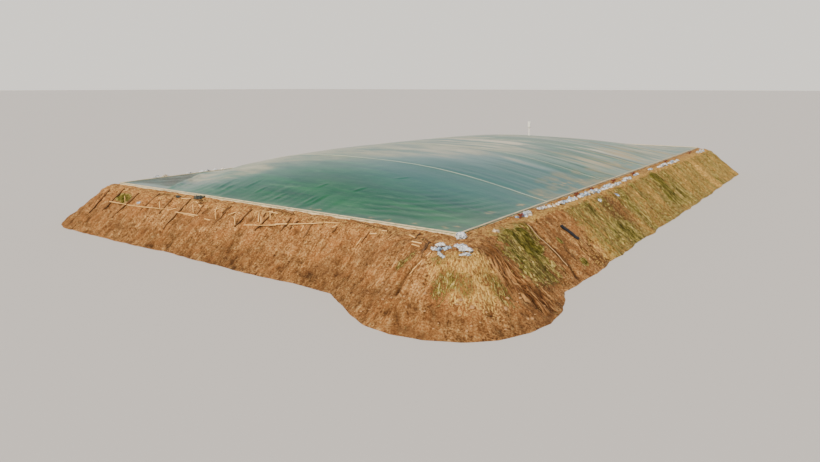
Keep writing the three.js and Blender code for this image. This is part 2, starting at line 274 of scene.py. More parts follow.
def bank_finish(name):
    """Soil with grass: "ground" says how green, straw-dry, dark (dark soil and painted shade) and
    rilled each place is.
    """
    f = Finish(name, roughness=0.97, specular=0.15)
    green, straw, dark, rilled = f.shares("ground")
    run = f.attribute("run")["Vector"]
    patches = f.noise(4.5, 5, 0.6)
    blotches = f.noise(17, 6, 0.7)
    clods = f.noise(56, 5, 0.6)
    grain = f.noise(300, 4, 0.7)
    streaks = f.noise((3.4, 0.7, 1), 5, 0.6, run)
    blades = f.noise((8, 2.6, 1), 4, 0.6, run)
    mottle = f.scaled(clods, 0.45, f.scaled(blotches, 0.3, f.scaled(streaks, 0.25)))
    browns = ((0.39, 68, 44, 27), (0.45, 130, 90, 53), (0.52, 184, 133, 78), (0.6, 234, 190, 126))
    soil = f.ramp(mottle, *browns)
    soil = f.layer(soil, (168, 108, 58), f.step(patches, 0.4, 0.65), 0.4)
    damp = f.noise((2.2, 2.2, 4.4), 4, 0.6)
    soil = f.layer(soil, (122, 84, 52), f.step(damp, 0.5, 0.68), 0.5)
    # The dark share darkens the soil, and lightens it below zero: darker soil patches and painted
    # shade
    soil = f.layer(soil, f.layer(soil, (56, 37, 24), 0.82), dark, 0.9)
    soil = f.layer(soil, (228, 174, 104), dark, -0.9)
    # Painted shade along the bottoms of the rills, with tan soil between
    rill_shade_stops = ((0.43, 116, 78, 48), (0.48, 26, 18, 12), (0.53, 104, 68, 42), (0.64, 202, 154, 98))
    rill_shading = f.ramp(f.noise((3.6, 0.24, 1), 3, 0.55, run), (0.34, 210, 162, 104), *rill_shade_stops)
    soil = f.layer(soil, f.layer(rill_shading, soil, 0.2), rilled, 0.95)
    dry = f.ramp(blades, (0.36, 108, 76, 36), (0.48, 186, 144, 72), (0.6, 236, 196, 112))
    greens = ((0.36, 50, 44, 24), (0.45, 112, 102, 46), (0.53, 160, 144, 70), (0.62, 218, 194, 124))
    fresh = f.ramp(blades, *greens)
    fresh = f.layer(fresh, (116, 114, 46), f.step(patches, 0.45, 0.6), 0.35)
    fresh = f.layer(fresh, (204, 176, 104), f.step(straw, 0.6, 0.95), 0.35)
    strands = f.noise((2, 0.4, 1), 4, 0.65, run)
    fresh = f.layer(fresh, (84, 64, 34), f.step(strands, 0.5, 0.6), 0.6)
    fresh = f.layer(fresh, (218, 190, 112), f.step(strands, 0.48, 0.38), 0.6)
    lush = f.layer(fresh, (166, 172, 140), 1, blend="MULTIPLY")
    fresh = f.layer(fresh, lush, f.step(green, 0.7, 1.05))
    tufts = f.scaled(blades, 1.6, f.scaled(blotches, 1, f.scaled(clods, 1.4, -2)))
    straw_mask = f.step(f.scaled(straw, 1, tufts), 0.3, 0.75)
    green_mask = f.step(f.scaled(green, 1, tufts), 0.3, 0.7)
    colour = f.layer(f.layer(soil, dry, straw_mask), fresh, green_mask)
    bumps = ((blotches, 0.7, 0.03), (clods, 1, 0.014), (grain, 0.6, 0.003))
    return f.finish(colour, *bumps, (f.scaled(blades, green_mask), 0.9, 0.01))


def cover_finish(name, dark, mid, light, sheen_share=0.52, sky_share=0.62):
    """Satin membrane: "marks" says where dust, pale wet patches, painted sky sheen and a darker grey
    lie.
    """
    f = Finish(name, specular=0.5)
    f.give(f.surface, {"Coat Weight": 0.2, "Coat Roughness": 0.2})
    dust, pale, sky_sheen, slack_darkening = f.shares("marks")
    bands = f.noise((1.1, 7, 1), 5, 0.62)
    smears = f.noise((3, 11, 1), 6, 0.7)
    grime = f.noise(38, 6, 0.7)
    green = f.ramp(bands, (0.3, *dark), (0.5, *mid), (0.7, *light))
    green = f.layer(green, (118, 154, 116), f.step(smears, 0.52, 0.75), 0.35)
    # A teal tone over the right of the sheet is a painted reflection of the sky
    spread = {"Vector": f.place, "Location": (1.7, -2.7, 0.8), "Scale": (2.3, 2.1, 20)}
    centred = f.node("Mapping", spread, vector_type="TEXTURE").outputs["Vector"]
    glare = f.node("TexGradient", {"Vector": centred}, gradient_type="SPHERICAL").outputs["Fac"]
    green = f.layer(green, (58, 108, 104), f.step(glare, 0, 0.6), sky_share)
    clouds = f.noise((0.8, 2.4, 1), 5, 0.65)
    uneven = f.scaled(clouds, 3.2, f.scaled(smears, 1.5, -2.35))
    # The sheen is a painted reflection of a pale sky, laid over the green where the marks hold it
    painted_sheen = f.scaled(f.scaled(sky_sheen, sky_sheen), uneven, sky_sheen)
    skylit = f.ramp(painted_sheen, (0.15, 130, 164, 172), (0.5, 166, 186, 184), (0.95, 212, 202, 172))
    colour = f.layer(green, skylit, painted_sheen, sheen_share)
    dusty = f.scaled(grime, 0.5, f.scaled(smears, 0.6, dust))
    dust_mask = f.step(dusty, 0.7, 1.3)
    colour = f.layer(colour, (182, 162, 120), dust_mask, 0.8)
    # Pale wet patches, and a painted highlight along the left edge
    colour = f.layer(colour, (206, 212, 204), pale, 0.6)
    # A darker grey over the slack front left corner
    slack_grey = f.ramp(grime, (0.35, 60, 66, 54), (0.5, 86, 92, 76), (0.65, 124, 124, 100))
    wear = f.scaled(painted_sheen, 0.12, f.scaled(slack_darkening, 0.3, f.scaled(dust_mask, 0.3, 0.34)))
    bumps = ((smears, 0.35, 0.01), (grime, 0.15, 0.003), (f.noise(260, 3, 0.6), 0.1, 0.001))
    return f.finish(f.layer(colour, slack_grey, slack_darkening), *bumps, Roughness=wear)


def concrete_finish():
    f = Finish("cast_concrete", roughness=0.88)
    mottle = f.noise(22, 7, 0.7)
    stains = f.noise((14, 14, 3), 5, 0.7)
    colour = f.ramp(mottle, (0.3, 176, 160, 126), (0.55, 222, 208, 172), (0.75, 238, 228, 200))
    colour = f.layer(colour, (170, 136, 96), f.step(stains, 0.5, 0.72))
    return f.finish(colour, (mottle, 0.4, 0.004), (f.noise(240, 4, 0.7), 0.4, 0.0015))


def timber_finish(name, dark, mid, light):
    """Wood with a grain that runs with the piece, from its own length in "grain"."""
    f = Finish(name, roughness=0.8)
    fibres = f.noise((60, 60, 2.2), 6, 0.7, f.attribute("grain")["Vector"])
    colour = f.ramp(fibres, (0.3, *dark), (0.5, *mid), (0.7, *light))
    weather = f.step(f.noise(30, 5, 0.7), 0.5, 0.75)
    return f.finish(f.layer(colour, f.layer(colour, dark, 0.5), weather), (fibres, 0.5, 0.002))


def bag_finish():
    """Woven sacks, each with its own tint and dust, with painted highlights and painted shade on
    their creases.
    """
    f = Finish("woven_sacks", roughness=0.75)
    grime = f.noise(60, 6, 0.75)
    creases = f.noise(52, 5, 0.7)
    threads = f.node("TexChecker", {"Vector": f.place, "Scale": 900}).outputs["Fac"]
    colour = f.layer(f.attribute("tint")["Color"], (158, 138, 108), f.step(grime, 0.5, 0.74))
    # Painted highlight on the crease tops and painted shade in the crease hollows
    colour = f.layer(colour, (250, 250, 244), f.step(creases, 0.52, 0.6), blend="OVERLAY")
    colour = f.layer(colour, (52, 54, 58), f.step(creases, 0.48, 0.41), 0.9)
    return f.finish(colour, (creases, 1, 0.008), (threads, 0.15, 0.0004))


def plain_finish(name, clean, worn, dirt, roughness):
    """Paint or plastic that is worn in patches and flecked with dirt."""
    f = Finish(name, roughness, 0.4)
    specks = f.noise(240, 4, 0.7)
    colour = f.layer(clean, worn, f.step(f.noise(40, 6, 0.7), 0.45, 0.7))
    colour = f.layer(colour, dirt, f.step(specks, 0.55, 0.75), 0.6)
    return f.finish(colour, (specks, 0.25, 0.001))


bare_soil = bank_finish("bare_soil")
grassy_soil = bank_finish("grassy_soil")
membrane = cover_finish("gas_membrane", (14, 70, 32), (22, 92, 40), (40, 112, 52))
weld_tape = cover_finish("weld_tape", (166, 188, 164), (192, 206, 182), (216, 222, 200), 0.35, 0.1)
concrete = concrete_finish()
weathered_poles = timber_finish("weathered_poles", (52, 34, 20), (104, 74, 46), (170, 130, 84))
fresh_laths = timber_finish("fresh_laths", (170, 122, 66), (222, 178, 112), (244, 208, 146))
batten_wood = timber_finish("batten_wood", (168, 148, 112), (222, 204, 164), (242, 228, 194))
woven_sacks = bag_finish()
black_plastic = plain_finish("black_plastic", (26, 27, 29), (44, 46, 50), (96, 82, 66), 0.45)
white_enamel = plain_finish("white_enamel", (240, 240, 234), (228, 226, 216), (172, 160, 140), 0.4)
cream_pipe = plain_finish("cream_pipe", (178, 148, 106), (146, 116, 78), (90, 68, 44), 0.6)
rusty_steel = plain_finish("rusty_steel", (104, 54, 40), (80, 42, 32), (54, 38, 32), 0.8)
field_stone = plain_finish("field_stone", (176, 136, 92), (150, 112, 72), (100, 70, 44), 0.95)


# Earth bank: grids laid over the CAD bank, with worn shoulders, rills and clods
def surface_of(objects):
    points = []
    faces = []
    for obj in objects:
        start = len(points)
        points.extend(vertex.co.copy() for vertex in obj.data.vertices)
        faces.extend([start + i for i in face.vertices] for face in obj.data.polygons)
    return BVHTree.FromPolygons(points, faces)


def feel(surface, x, y):
    """A surface's height in real metres and its slope, felt from above."""
    hit, normal = surface.ray_cast(place(x, y, 2 * BEAM_TOP), DOWN)[:2]
    return (hit.z / MODEL, normal) if hit else (None, UP)


cad_bank = surface_of(node for name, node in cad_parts.items() if name.endswith("_embankment"))

BANK_ROWS = 60
CORNER_LENGTH = 7.5 * radians(90)
EDGE_X = HALF_X + BEAM_FACE
EDGE_Y = HALF_Y + BEAM_FACE
NEAR, FAR = -BEAM_FACE, LENGTH + BEAM_FACE
CORNERS = [(-EDGE_X, NEAR), (EDGE_X, NEAR), (EDGE_X, FAR), (-EDGE_X, FAR), (-EDGE_X, NEAR)]
# Sides and corners in turn, anticlockwise from the front left, with the size of a cell
STRETCHES = [
    ("front", 0.2), ("front_right_corner", 0.12), ("right", 0.2), ("rear_right_corner", 0.25),
    ("rear", 0.4), ("rear_left_corner", 0.3), ("left", 0.4), ("front_left_corner", 0.25),
]


def inside_own_node(name, x, y):
    """Moves a place that lies on the joint of two CAD nodes just inside its own."""
    clear = 0.02
    y -= HALF_Y
    if name in ("front", "rear"):
        x = copysign(min(abs(x), EDGE_X - clear), x)
    else:
        x = copysign(max(abs(x), EDGE_X + clear), x)
    if name in ("right", "left"):
        y = copysign(min(abs(y), EDGE_Y - clear), y)
    else:
        y = copysign(max(abs(y), EDGE_Y + clear), y)
    return x, y + HALF_Y


class Ray:
    """A line over the bank from the ring beam to its toe."""

    def __init__(self, name, start, heading, run):
        self.name = name
        self.start = start
        self.out = (cos(heading), sin(heading))
        self.run = run
        self.wander = 0.35 * rough(run, 7, 4, 1.5)
        self.reach, beyond = 3, 16
        while beyond - self.reach > 0.02:
            middle = (self.reach + beyond) / 2
            if self.height(middle) is None:
                beyond = middle
            else:
                self.reach = middle

    def point(self, distance):
        return [a + b * distance for a, b in zip(self.start, self.out)]

    def height(self, distance):
        return feel(cad_bank, *inside_own_node(self.name, *self.point(distance)))[0]


def rill_share(x, y):
    """Where rain has cut the bank: strongest beside the mound and above the black pipe."""
    beside_mound = blob(x, y, 34.4, -1.4, 5.6, 3.7)
    under_pipe = blob(x, y, 35.5, 17.5, 3.2, 5)
    return max(beside_mound, 0.8 * under_pipe, 0.25)


def gully(x, y):
    """A gully down the mound's left flank, darkened in the soil colour as painted shade."""
    middle = 28.3 - 0.4 * smooth(-y, 6.8, 7.8) + 0.1 * sin(2.3 * y)
    return max(0, 1 - abs(x - middle) / 0.4) * smooth(-y, 6.5, 7.2) * fade(-y, 9.4, 10.2)


def pipe_trench(x, y):
    """A narrow trench that rain has cut beside the pale pipe."""
    if x < 30.5:
        return 0
    middle = 9.75 - 0.5 * smooth(x, 34.5, 37) - 0.15 * sin(1.4 * x)
    return max(0, 1 - abs(y - middle) / 0.5) * fade(x, 36, 37)


def rill_depth(x, y, run, share):
    """0 between the rills, 1 at the bottom of the deepest ones."""
    bend = run + 0.5 * rough(x, y, 2.6, 3)
    valley = 1 - abs(noise.noise(Vector((bend / 0.66, share * 1.2, 9)))) * 3
    return max(valley, 0) ** 1.6 * rill_share(x, y)


def clod_height(x, y):
    return rough(x, y, 0.9, 5, 5)


def bank_relief(x, y, run, share):
    """How far the worn soil stands above or below the plain bank."""
    slope = smooth(share, 0.12, 0.3) * fade(share, 0.93, 1)
    lumps = 0.16 * rough(x, y, 3.4, 2) + 0.2 * clod_height(x, y)
    slip = 0.3 * max(rough(x, y, 2.2, 11) - 0.12, 0)
    cut = slope * (0.7 * rill_depth(x, y, run, share) + 0.45 * gully(x, y))
    cut += 0.3 * pipe_trench(x, y)
    beside_beam = smooth(x, 27, 28.2) * smooth(y, -0.2, 1)
    banked_up = 0.14 + 0.1 * beside_beam + (0.1 - 0.04 * beside_beam) * rough(x, y, 1.8, 14)
    worn = (lumps * (0.3 + 0.7 * slope) - slip * slope) * fade(share, 0.9, 1)
    return worn - cut + banked_up * fade(share, 0, 0.1)


def tufted_grass(run, share):
    """Where grass stands thicker or thinner, in patches that run down the slope."""
    wide = rough(run / 3.6, 1.5 * share, 1, 6, 4)
    return 0.55 * wide + 0.6 * rough(run / 0.6, 1.3 * share, 1, 3, 2)


def lush_patch(x, y):
    """The thick grass between the mound's rills and the pale pipe."""
    ragged = 1.7 * rough(x, y, 0.9, 2, 4)
    middle = 6.5 - 2.8 * smooth(x, 29.5, 34.5)
    wide = fade(abs(y - middle) + ragged, 3.1, 4.6)
    return wide * smooth(x + 0.6 * ragged, 29.2, 30.4) * fade(x, 35.4, 37)


# Patches of grass: their middle, by y and share on the right side and by x and y on the mound,
# their reach both ways, and how much each counts
RIGHT_GREEN = [
    (29, 0.85, 7, 0.3, 0.3), (58, 0.7, 8, 0.35, 0.3), (12.4, 0.55, 0.7, 0.07, 1.2),
    (12.7, 0.84, 0.8, 0.08, 1.2), (57.8, 0.36, 2.2, 0.2, 1.2),
]
MOUND_GREEN = [
    (31.5, -8.4, 1.2, 1.9, 0.5), (32.9, -7.4, 1.5, 1.3, 0.42), (35, -5.3, 2.2, 1.2, 0.5),
    (30.1, -6.7, 1, 0.8, 0.36), (26.4, -7, 0.7, 0.9, 0.6), (26.9, -6.2, 0.6, 0.8, 0.45),
]


def right_bank_cover(y, share, worn, crest, tufted):
    """Grass and bare stretches along the right side: green, straw and dark shares."""
    field = smooth(y, 17.5, 21) * (1 - crest)
    bare = blob(y, share, 13.2, 0.55, 4.2, 0.6)
    stripe = blob(y, share, 83.5, 0.7, 3.4, 0.5)
    brown = blob(y, share, 32.6, 0.55, 4, 0.4)
    green = (0.55 + 0.6 * tufted) * field + blobs(y, share, RIGHT_GREEN)
    green -= 0.5 * stripe + 0.12 * field * smooth(worn, 0, 0.5) + 0.3 * bare + 0.15 * brown
    straw = 0.1 + (0.58 - 0.3 * tufted + 0.2 * smooth(y, 30, 100)) * field - 0.4 * brown
    dark = 0.2 * field * smooth(worn, -0.1, 0.4) + 0.4 * stripe + 0.28 * bare + 0.3 * brown
    return green, straw, dark - 0.4 * crest


def ground_cover(name, x, y, run, share):
    """Shares of green grass, dry grass, dark soil with painted shade, and rills at a place of the
    bank.
    """
    crest = fade(share, 0.2, 0.3)
    worn = rough(x, y, 5, 3)
    tufted = tufted_grass(run, share)
    behind = smooth(y, LENGTH, LENGTH + 4)
    right = smooth(x, 28, 30) * smooth(y, 1.5, 3) * (1 - behind)
    cover = right_bank_cover(y, share, worn, crest, tufted)
    green, straw, dark = (right * part for part in cover)
    if x > 22 and y < 2:
        mound = blob(x, y, 32.6, -6.4, 4.9, 4)
        green += blobs(x, y, MOUND_GREEN)
        straw += 0.62 * mound
        dark += 0.3 * smooth(share, 0.68, 0.85) - 0.9 * mound
    lush = lush_patch(x, y) if 28 < x and -3 < y < 13 else 0
    green += (0.86 + 0.7 * tufted - 0.2 * smooth(share, 0.5, 0.9)) * lush
    washed = blob(x, y, 35.6, 17.2, 3.6, 5)
    straw += 0.2 * washed
    dark += 0.4 * lush - 0.75 * washed
    rilled = smooth(rill_share(x, y), 0.3, 0.75) * smooth(share, 0.15, 0.3) * (1 - lush)
    if name.startswith("front") and x < 22:
        square = blob(x, share, -23.5, 0.31, 2.2, 0.12)
        green += 1.2 * square - 0.1
        dark += 0.5 * square + 0.3 * smooth(share, 0.5, 0.8) + 0.3 * smooth(worn, 0.1, 0.6)
        dark -= 0.2 * fade(share, 0.2, 0.5)
        # Painted shade under the front beam, where the soil is cut away beneath it
        for middle, reach in ((19.2, 2.2), (6.8, 1.6), (-8.2, 1.2), (-15.8, 1.8)):
            dark += 0.9 * blob(x, share, middle, 0.12, reach, 0.05)
    left = smooth(-x, EDGE_X, EDGE_X + 3) * smooth(y, 0, 12) * (1 - behind)
    green += (0.5 + 0.6 * tufted + 0.3 * worn) * behind * (1 - crest)
    green += (0.25 + 0.7 * tufted + 0.5 * worn) * left * (1 - crest)
    straw += (0.5 - 0.3 * tufted) * behind + (0.4 - 0.3 * worn) * left
    straw += (0.3 + 0.2 * right) * crest
    # Painted shade in the gully, the pipe trench, the rill bottoms and the hollows between clods
    cut = 0.95 * gully(x, y) + 1.8 * pipe_trench(x, y)
    cut += 1.1 * rill_depth(x, y, run, share) * (1 - crest)
    cut += 0.9 * max(-clod_height(x, y) - 0.05, 0)
    dark = dark + cut if cut < 0.2 else max(dark, 0) + cut
    return max(green, 0), max(straw, 0), dark, rilled


def lay_bank(name, start, end, heading, turn, cell, run):
    """One stretch of the bank, as a closed solid whose top follows the CAD bank."""
    length = dist(start, end) or CORNER_LENGTH
    cells = round(length / cell)
    bank = add_grid(cells, BANK_ROWS)
    ground = bank.data.color_attributes.new("ground", "FLOAT_COLOR", "POINT")
    track = bank.data.attributes.new("run", "FLOAT_VECTOR", "POINT")
    rays = []
    for i in range(cells + 1):
        part = i / cells
        corner = [a + (b - a) * part for a, b in zip(start, end)]
        rays.append(Ray(name, corner, radians(heading + turn * part), run + length * part))
    for vertex in bank.data.vertices:
        ray = rays[round((vertex.co.x + 0.5) * cells)]
        share = vertex.co.y + 0.5
        distance = share * ray.reach
        x, y = ray.point(distance)
        height = (ray.height(distance) or 0) + bank_relief(x, y, ray.run, share)
        shift = ray.wander * smooth(share, 0.3, 1)
        x += ray.out[0] * shift
        y += ray.out[1] * shift
        ground.data[vertex.index].color = ground_cover(name, x, y, ray.run, share)
        track.data[vertex.index].vector = (ray.run, distance, 0)
        vertex.co = place(x, y, max(height, 0) if share < 0.999 else 0)
    close_below(bank)
    return bank


def close_below(obj):
    """Carries the open rim of a shell down to the ground and closes it there."""
    editing(obj)
    pick("DESELECT")
    bpy.ops.mesh.select_mode(type="EDGE")
    bpy.ops.mesh.select_non_manifold()
    bpy.ops.mesh.extrude_edges_move()
    bpy.ops.transform.resize(value=(1, 1, 0), center_override=(0, 0, 0))
    pick()
    bpy.ops.mesh.remove_doubles(threshold=1e-5)
    pick("DESELECT")
    bpy.ops.mesh.select_non_manifold()
    bpy.ops.mesh.edge_face_add()
    pick()
    bpy.ops.mesh.normals_make_consistent(inside=False)
    done_editing()


OUTWARDS = {"front": (0, -1, 0), "right": (1, 0, 0), "rear": (0, 1, 0), "left": (-1, 0, 0)}


def inner_bank(side):
    """What lies inside the ring beam's outer face of a straight bank, as the CAD has it."""
    inner = twin_of(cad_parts[side + "_embankment"])
    out = Vector(OUTWARDS[side])
    face = Vector((EDGE_X, EDGE_Y, 0)) * MODEL
    editing(inner)
    bpy.ops.mesh.remove_doubles(threshold=1e-5)
    pick()
    bpy.ops.mesh.bisect(plane_co=face * out, plane_no=out, clear_outer=True, use_fill=True)
    done_editing()
    return inner


BARE = ("front", "left", "front_left_corner")
run = 0
banks = []
for i, (name, cell) in enumerate(STRETCHES):
    quarter, corner = divmod(i, 2)
    start, end = CORNERS[quarter + corner], CORNERS[quarter + 1]
    bank = lay_bank(name, start, end, 90 * quarter - 90, 90 * corner, cell, run)
    run += dist(start, end) or CORNER_LENGTH
    if name in SIDES:
        bank = joined([bank, inner_bank(name)])
    finish, slot = (bare_soil, "bare_earth") if name in BARE else (grassy_soil, "grassy_earth")
    banks.append(piece(bank, name + "_bank_soil", finish, [name + "_embankment"], angle=60))
soil = surface_of(banks)


def ground_at(x, y):
    """Height of the finished soil in real metres, and its slope."""
    height, normal = feel(soil, x, y)
    return height or 0, normal


# Gas cover: five panels and four weld tapes on the CAD dome, with folds and ripples
COVER_RISE = 3.62
DOME_ACROSS = (2.72, 1.28)
DOME_ALONG = (4.37, 1.55)
DOME_LEAN = (0.122, 0.215)
# How far the slack front left corner reaches both ways, and where the cover is full again
SLACK_REACH = (10.2, 14.3)
SLACK_END = 1.9
HEM = BEAM_FACE - GAP
PANELS = 5
PANEL_LENGTH = LENGTH / PANELS
SHEET_THICK = 0.03
COVER_FACE = GAP + 0.05
WELD_WIDTH = 0.17


def dome_height(x, y):
    """Height of the smooth dome above the ring beam."""
    across = x / HALF_X
    along = (y - HALF_Y) / HALF_Y
    height = COVER_RISE * smooth(off_corner(x, y), 1, SLACK_END)
    height *= 1 - DOME_LEAN[0] * across - DOME_LEAN[1] * along
    for part, (power, blunt) in ((across, DOME_ACROSS), (along, DOME_ALONG)):
        height *= (1 - min(abs(part), 1) ** power) ** blunt
    return height


def folds(tangent, inwards, reach, seed):
    """Folds square to an edge: they start at it and die out after their reach."""
    strength = smooth(inwards, 0.1, 1.2) * fade(inwards, 0.35 * reach, reach)
    if strength == 0:
        return 0
    return strength * noise.noise(Vector((tangent / 1.1 + 0.03 * inwards, inwards * 0.06, seed)))


def off_corner(x, y):
    """Under 1 where the cover lies slack in its front left corner, over 1 where it is full."""
    return (x + HALF_X) / SLACK_REACH[0] + y / SLACK_REACH[1]


def ridge(value, middle, reach):
    """A narrow hump: 1 at its middle, near 0 beyond its reach."""
    return exp(-(((value - middle) / reach) ** 2))


# Short creases in the sheet behind its front edge
CREASES = [
    (-10.5, 2.3, -11.7, 7), (-8.9, 1.9, -9.7, 5.2), (-6.6, 3.3, -7.1, 7.9), (-3.6, 2.6, -3.9, 5.6),
    (1, 1.6, 0.7, 4.2), (5.8, 1.8, 5.6, 4.6), (6.7, 1.4, 6.5, 5.6), (3.5, 6.8, 3.8, 8.7),
    (8.9, 7, 9.6, 9.2), (10.5, 13.1, 12, 15.1),
]


def crease_height(x, y):
    height = 0
    for first_x, first, last_x, last in CREASES:
        part = (y - first) / (last - first)
        if 0 < part < 1:
            away = x - first_x - (last_x - first_x) * part
            hump = ridge(away, 0, 0.25) - 0.6 * ridge(away, 0.5, 0.25)
            height += sin(pi * part) * hump
    return height


def cover_ripple(x, y):
    """Height of folds and ripples on the dome."""
    edges = min(HALF_X - abs(x), y, LENGTH - y)
    if edges <= 0:
        return 0
    corner = fade(hypot((HALF_X - x) / 20, y / 20), 0.55, 1)
    rings = sin(dome_height(x, y) * 2 * pi / 0.23 + 5 * rough(x, y, 8, 4, 4))
    front = folds(x, y, 9, 1) * fade(x, 8, 16)
    right = folds(y, HALF_X - x, 22, 2) * smooth(y, 14, 24)
    left = folds(y, x + HALF_X, 16, 3)
    rear = folds(x, LENGTH - y, 9, 4)
    waves = noise.noise(Vector((x * 0.035, y * 0.3, 6)))
    slack = fade((x + HALF_X) / 13 + y / 18, 0.7, 1.15)
    turn = atan2(y + 0.5, x + HALF_X + 0.5)
    pleats = slack * 0.07 * sin(17 * turn + 2 * rough(x, y, 4, 8)) * smooth(edges, 0.1, 2.5)
    away = off_corner(x, y) + 0.05 * rough(x, y, 3, 5)
    crease = 0.2 * ridge(away, 1.07, 0.06) - 0.05 * ridge(away, 0.96, 0.03)
    crease += 0.08 * ridge(away, 1.22, 0.04)
    pleats += crease * smooth(edges, 0.2, 1.5) * fade(y, 11, 14)
    height = 0.09 * (0.6 * front + 0.7 * right + 0.7 * left + rear)
    height += 0.014 * rings * corner + 0.052 * crease_height(x, y)
    height += 0.06 * waves * smooth(edges, 1, 6) + pleats + 0.012 * rough(x, y, 1.6, 7)
    return height * smooth(edges, 0, 0.6)


# Dried stains on the sheet: x, y and their reach both ways
STAINS = [
    (26, 31.5, 2.2, 6.5), (26.2, 36.8, 1.6, 4), (26.7, 42, 1.4, 3), (25.2, 60, 2, 4.5),
    (26.8, 22.6, 1.6, 3.4), (26.8, 16, 0.8, 1.4), (26.2, 10, 0.9, 1.4), (26, 1.9, 1.6, 1.2),
    (22.6, 1.2, 1.4, 0.6), (18.8, 1.1, 1, 0.5), (17.1, 0.9, 1, 0.5), (8.8, 0.9, 1.6, 0.6),
]
# Stronger and weaker painted sky sheen: the same, and how much each bank counts
SKY_SHEEN_BANKS = [
    (-7, 62, 16, 9, 0.45), (-1.2, 53, 10, 5, 1.1), (4, 66.5, 17, 6, -1.6), (16.5, 63.5, 8, 7, 0.6),
    (19.5, 53, 8, 8, 0.2), (23.5, 72, 7, 11, 0.4), (17.5, 38, 6, 2.8, 0.45),
    (21, 31.5, 7, 4.5, -0.5), (10.5, 23, 8, 6, -0.15), (-14, 9, 6.5, 6.5, 0.35),
]


def cover_marks(x, y):
    """Shares of dust, of pale wet sheet with a painted edge highlight, of painted sky sheen and of a
    darker grey.
    """
    edges = min(HALF_X - abs(x), y, LENGTH - y)
    specks = smooth(rough(x, y, 3.5, 12, 5), -0.45, 0.4)
    dust = 0.42 * blob(x, y, 25.2, 36, 5, 26) * specks
    dust += 0.2 * fade(edges, 0.2, 1.6) + 0.2 * blob(x, y, 22, 84, 7, 16)
    for stain in STAINS:
        spots = 0.26 + 0.9 * rough(x, y / 0.4, 0.9, 4, 4)
        dust = max(dust, spots * blob(x, y, *stain))
    streaks = smooth(rough(x / 6, y, 2.6, 15, 4), -0.05, 0.4)
    dust += 0.42 * smooth(y, 40, 60) * streaks * (1 - blob(x, y, 4, 66.5, 16, 5.5))
    dust += 0.2 * blob(x, y, 20, 54, 8, 10) + 0.2 * blob(x, y, 23.5, 72, 6, 12)
    shaded = 0.36 + 0.4 * fade(y, 38, 50)
    # Painted reflection of the sky, rising towards the back and the left of the sheet
    sky_sheen = smooth(y - 0.75 * x, 2, 34) * (1 - shaded * smooth(x, 6, 20))
    sky_sheen += 0.3 * smooth(x, 8, 20) * smooth(y, 72, 88)
    frayed = smooth(y, 40, 50) * rough(x / 6, y, 2.2, 31, 4)
    sky_sheen += blobs(x + 9 * frayed, y + 3.4 * frayed, SKY_SHEEN_BANKS)
    sky_sheen = max(sky_sheen, 0.14 * smooth(y, 48, 58))
    sky_sheen *= 1 - 0.75 * smooth(y, 30, 46) * smooth(rough(x / 7, y, 3.4, 21, 4), -0.05, 0.35)
    away = off_corner(x, y) + 0.05 * rough(x, y, 3, 5)
    slack = fade(away, 0.96, 1.03) * fade(y, 11, 13)
    # The slack front left corner is made a darker grey
    slack_darkening = slack * (0.8 + 0.5 * rough(x, y, 2.4, 9, 4)) * (1 - 0.7 * fade(y, 1.2, 2.4))
    pale = 0.6 * slack * fade(y, 1.4, 3.2) * smooth(x, -27, -24)
    # A pale band along the left edge is a painted highlight
    pale += 0.35 * fade(x + HALF_X, 1, 7) * smooth(y, 12, 20)
    # Painted highlight above the corner fold, painted shade in its groove, and less painted sheen
    # over the slack corner
    sky_sheen += 0.35 * ridge(away, 1.25, 0.2) - 0.5 * ridge(away, 0.98, 0.05) - 0.25 * slack
    return max(dust, 0), max(pale, 0), max(sky_sheen, 0), min(max(slack_darkening, 0), 1)


def lay_sheet(low_x, high_x, low_y, high_y, cells, lift):
    """A sheet on the dome: its upper face is lifted off the ring beam by lift."""
    sheet = add_grid(*cells)
    marks = sheet.data.color_attributes.new("marks", "FLOAT_COLOR", "POINT")
    for vertex in sheet.data.vertices:
        x = low_x + (high_x - low_x) * (vertex.co.x + 0.5)
        y = low_y + (high_y - low_y) * (vertex.co.y + 0.5)
        height = dome_height(x, y) + cover_ripple(x, y)
        marks.data[vertex.index].color = cover_marks(x, y)
        vertex.co = place(x, y, BEAM_TOP + lift + max(height, 0))
    modify(sheet, "SOLIDIFY", thickness=SHEET_THICK * MODEL, offset=-1)
    return sheet


for i in range(PANELS):
    low = i * PANEL_LENGTH if i else -HEM
    high = (i + 1) * PANEL_LENGTH + (HEM if i == PANELS - 1 else 0)
    cell = 0.4 if i else 0.22
    cells = (round(2 * EDGE_X / cell), round(PANEL_LENGTH / cell))
    edge = HALF_X + HEM
    sheet = lay_sheet(-edge, edge, low + GAP / 2, high - GAP / 2, cells, COVER_FACE)
    piece(sheet, f"cover_sheet_{i + 1}", membrane, [f"cover_panel_{i + 1}"])
for i in range(1, PANELS):
    low = i * PANEL_LENGTH - WELD_WIDTH / 2
    lift = COVER_FACE + 2 * GAP + SHEET_THICK
    tape = lay_sheet(-HALF_X, HALF_X, low, low + WELD_WIDTH, (140, 3), lift)
    piece(tape, f"weld_tape_{i}", weld_tape, [f"cover_weld_{i}"])

# CAD pieces that keep their shape
kept = {f"{side}_ring_beam": concrete for side in SIDES}
kept.update(basin_liner=black_plastic, flare_footing=concrete)
kept.update(flare_stem=white_enamel, flare_head=white_enamel)
for name, finish in kept.items():
    dress(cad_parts[name], finish)

# Filled bags: three kinds are blown up like cloth, then copied to every place where one lies
BAG_LENGTH = 1
BAG_WIDTH = 0.6
BAG_HEIGHT = 0.28
BAG_TINTS = [
    tone(222, 228, 234), tone(176, 198, 222), tone(240, 238, 230), tone(186, 196, 202),
    tone(148, 168, 196), tone(196, 178, 148),
]


